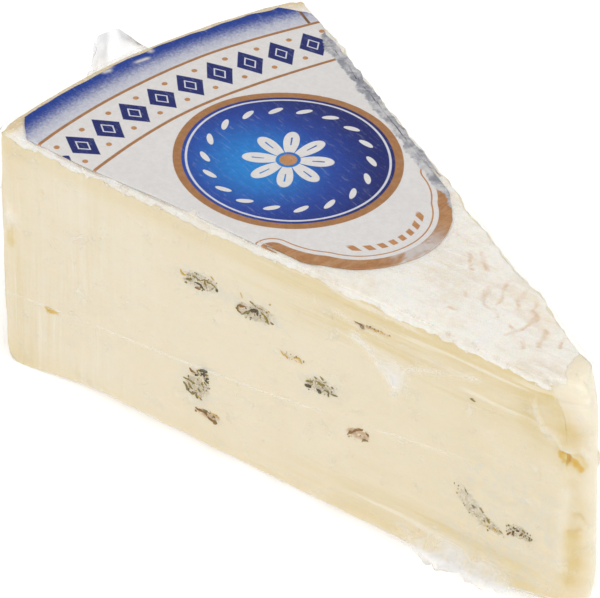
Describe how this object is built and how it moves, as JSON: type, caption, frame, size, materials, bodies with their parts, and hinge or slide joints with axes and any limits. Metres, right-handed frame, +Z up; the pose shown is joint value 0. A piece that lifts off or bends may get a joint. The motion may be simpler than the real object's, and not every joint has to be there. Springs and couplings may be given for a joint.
{
  "type": "blue cheese wedge",
  "caption": "Wedge of soft blue cheese with a white mould rind, a printed paper label on its top and a tight clear film around it.",
  "frame": {"origin": "under the middle of the whole part's box, on the surface it stands on", "axes": "+Z up, +X from the rim of the wheel towards the pointed end, +Y towards the cut face that the picture hides"},
  "size_m": [0.118, 0.0638, 0.051],
  "materials": {
    "cheese": "soft cream-coloured paste with blue mould pockets, under a white mould rind",
    "label": "foil-backed paper printed in blue, silver grey and copper",
    "film": "clear cling film, glossy, with fine tension creases"
  },
  "bodies": {
    "root": {"cheese_wedge": "cheese", "paper_label": "label", "film_wrap": "film"}
  },
  "joints": []
}
